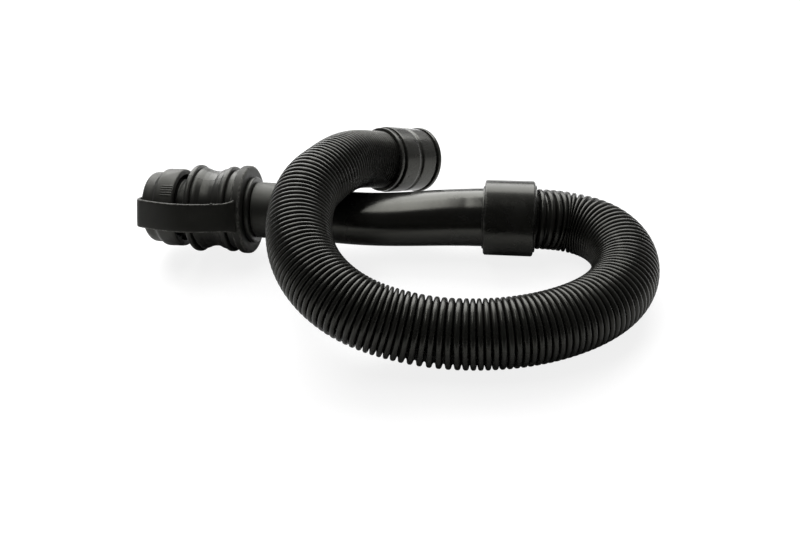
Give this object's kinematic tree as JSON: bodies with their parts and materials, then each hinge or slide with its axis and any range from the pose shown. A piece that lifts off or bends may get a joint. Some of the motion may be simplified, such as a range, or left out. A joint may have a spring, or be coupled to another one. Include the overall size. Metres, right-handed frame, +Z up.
{
  "type": "floor scrubber drain hose",
  "caption": "Corrugated drain hose with a machine cuff at one end and a soft squeeze tube with a strapped drain cap at the other, lying in a loop.",
  "frame": {"origin": "centre of the bounding box's base, on the surface that the hose lies on", "axes": "+X along the outlet's axis from the cap towards the hose, +Y away from the hose's loop towards the machine cuff, +Z up"},
  "size_m": [0.4314, 0.2762, 0.1054],
  "materials": {
    "cap_black": "matte moulded, fine grain",
    "seal_black": "matte rubber",
    "strap_black": "matte rubber",
    "collar_black": "glossy",
    "tube_black": "glossy soft tube",
    "cuff_black": "satin",
    "hose_black": "semi-gloss corrugated",
    "machine_black": "satin"
  },
  "bodies": {
    "hose_assembly": {"cap_strap": "strap_black", "outlet_collar": "collar_black", "squeeze_tube": "tube_black", "joining_cuff": "cuff_black", "stretch_hose": "hose_black", "machine_cuff": "machine_black"},
    "cap": {"drain_cap": "cap_black", "cap_seal": "seal_black"}
  },
  "joints": [
    {"name": "cap_turn", "type": "hinge", "parent": "hose_assembly", "child": "cap", "pos_m": [-0.19537, 0.033, 0.04026], "axis": [-0.9996, 0, 0.028], "range_deg": [0, 90]}
  ]
}
